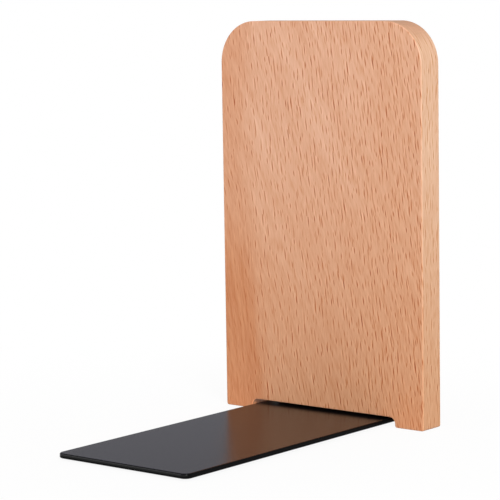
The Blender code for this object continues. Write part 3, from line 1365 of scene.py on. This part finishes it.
@dataclass(frozen=True)
class Pad(Piece):
    """An anti-slip dot under the angle's foot."""

    edge_radius: float = 0.2 * MM
    dome: float = 0.04 * MM
    edge_steps: int = 5
    dome_rings: int = 8
    sides: int = 72

    def build(self, material: Material) -> None:
        """Make the dot: a low disc, slightly domed below, with a rounded lower rim.

        Its underside is height = dome * (distance from the middle / radius) ** 2.

        Args:
            material: Its material.
        """
        radius, height = self.box.size.x / 2, self.box.size.z
        ring = np.linspace(0, 1, self.dome_rings)[:, None] * (radius - self.edge_radius)
        under = np.concatenate([ring, self.dome * (ring / radius) ** 2], axis=1)
        angles = np.linspace(-QUARTER_TURN, 0, self.edge_steps + 1)[1:]
        rim_radius = radius - self.edge_radius * (1 - np.cos(angles))
        rim_height = under[-1, 1] + self.edge_radius * (1 + np.sin(angles))
        rim = np.stack([rim_radius, rim_height], axis=1)
        top = np.array([(radius, height), (0, height)])
        base = np.array([self.box.centre.x, self.box.centre.y, self.box.low.z])
        skin = Skin(self.node + "_disc")
        profile = np.concatenate([under, rim, top])
        skin.add_net(turned(profile, self.sides, lambda own: base + own), wraps=True)
        finish_piece(skin.build(), self.node, material)


@dataclass(frozen=True)
class Lamp:
    """A soft square lamp of white light that points at the board."""

    name: str
    place: Point
    side: float
    power: float
    aim: Point = (0.0, 0.05, 0.08)

    def build(self) -> None:
        """Make the lamp."""
        light = bpy.data.lights.new(self.name, "AREA")
        light.shape = "SQUARE"
        light.size = self.side
        light.energy = self.power
        lamp = new_object(self.name, light)
        lamp.location = self.place
        towards = Vector(self.aim) - Vector(self.place)
        lamp.rotation_euler = towards.to_track_quat("-Z", "Y").to_euler()


@dataclass(frozen=True)
class Studio:
    """White surroundings, soft lamps and the camera at the photograph's place."""

    lamps: tuple[Lamp, ...] = (
        Lamp("key_lamp", (2.28, -1.61, 1.385), 0.9, 74.0),
        Lamp("fill_lamp", (-0.75, -0.80, 0.35), 0.5, 2.15),
        Lamp("back_lamp", (-0.50, 1.95, 0.40), 0.7, 12.0),
    )
    world_light: float = 0.41
    sky_colour: Colour = (166, 165, 175)
    sky_start: float = math.sin(math.radians(1))
    sky_end: float = math.sin(math.radians(9))
    floor_size: float = 12.0
    shadow_share: float = 0.09
    shadow_reach: float = 0.25
    floor_colour: Colour = (252, 252, 252)
    bounce_colour: Colour = (205, 205, 205)
    focal_length: float = 158.98
    sensor_width: float = 36.0
    azimuth: float = math.radians(39.244)
    pitch: float = math.radians(6.933)
    roll: float = math.radians(-0.897)
    camera_from_board: Point = (535.43 * MM, -699.78 * MM, 176.01 * MM)

    def build_world(self) -> None:
        """Make the world.

        The camera sees plain white. Reflections see white up to the horizon and a pale grey above
        it, as in a room. As a light the world is even and softer.
        """
        world = bpy.data.worlds.new("studio_world")
        world.use_nodes = True
        bpy.context.scene.world = world
        graph = Graph(world.node_tree)
        rise = graph.coordinate("Generated").parts()[2]
        above = rise.ease(self.sky_start, self.sky_end) * (1.0 - graph.ray("Camera"))
        backdrop = above.blend(WHITE, linear(self.sky_colour))
        even = (self.world_light, self.world_light, self.world_light, 1.0)
        colour = graph.seen().blend(even, backdrop)
        graph.fill(world.node_tree.nodes["Background"], {"Color": colour, "Strength": 1.0})

    def build_floor(self) -> None:
        """Make the white floor, which keeps a soft shadow near the object and fades to plain white.

        The light that it throws back on the object is a little less than its white would give.
        """
        half = self.floor_size / 2
        rim = [(half * x, half * y, 0.0) for x, y in ((-1, -1), (1, -1), (1, 1), (-1, 1))]
        mesh = bpy.data.meshes.new("studio_floor")
        mesh.from_pydata(rim, [], [(0, 1, 2, 3)])
        floor = new_object("studio_floor", mesh)
        material, graph, shader = new_material("studio_floor")
        seen = graph.seen()
        surface = seen.blend(linear(self.bounce_colour), linear(self.floor_colour))
        graph.fill(shader, {"Base Color": surface, "Roughness": 1.0, "Specular IOR Level": 0.0})
        glow = graph.out("ShaderNodeEmission", {"Color": WHITE, "Strength": 1.0})
        place = {0: graph.coordinate("Object")}
        distance = graph.out("ShaderNodeVectorMath", place, "Value", operation="LENGTH")
        kept = distance.ease(self.shadow_reach, 0.0) * self.shadow_share
        sources = {0: seen * (1.0 - kept), 1: shader.outputs[0], 2: glow}
        mix = graph.out("ShaderNodeMixShader", sources)
        graph.fill(material.node_tree.nodes["Material Output"], {"Surface": mix})
        mesh.materials.append(material)

    def build_camera(self, board: Box) -> None:
        """Place the camera, measured from the middle of the foot of the board's front face.

        Args:
            board: Where the board lies.
        """
        camera = bpy.data.cameras.new("camera")
        camera.lens = self.focal_length
        camera.sensor_width = self.sensor_width
        item = new_object("camera", camera)
        item.location = Vector((0.0, board.low.y, 0.0)) + Vector(self.camera_from_board)
        turn = Euler((QUARTER_TURN - self.pitch, 0.0, self.azimuth)).to_matrix()
        item.rotation_euler = (turn @ Matrix.Rotation(self.roll, 3, "Z")).to_euler()
        bpy.context.scene.camera = item

    def build(self, board: Box) -> None:
        """Make everything round the object.

        Args:
            board: Where the board lies.
        """
        bpy.context.scene.view_settings.view_transform = "Standard"
        self.build_camera(board)
        self.build_world()
        self.build_floor()
        for lamp in self.lamps:
            lamp.build()


def clear_scene() -> None:
    """Remove every object that the file starts with."""
    for item in list(bpy.data.objects):
        bpy.data.objects.remove(item, do_unlink=True)


def main() -> None:
    """Load the frame, dress every solid, and set up the studio."""
    logging.basicConfig(level=logging.INFO, format="%(name)s: %(message)s")
    clear_scene()
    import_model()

    grain = fine_grain_group()
    beech = BeechFinish().material(FleckShape().group())
    coat = PowderCoatFinish().material(grain)
    zinc = ZINC_FINISH.material(grain)
    rubber = RUBBER_FINISH.material(grain)

    board, sheet = Board("beech_board"), Sheet("steel_angle")
    screws = [Screw("leg_screw_left"), Screw("leg_screw_right")]
    board.build(beech, sheet, screws)
    sheet.build(coat, screws)
    for screw in screws:
        screw.build(zinc)
    for node in ("pad_front_left", "pad_front_right", "pad_rear_left", "pad_rear_right"):
        Pad(node).build(rubber)
    Studio().build(board.box)


if __name__ == "__main__":
    main()
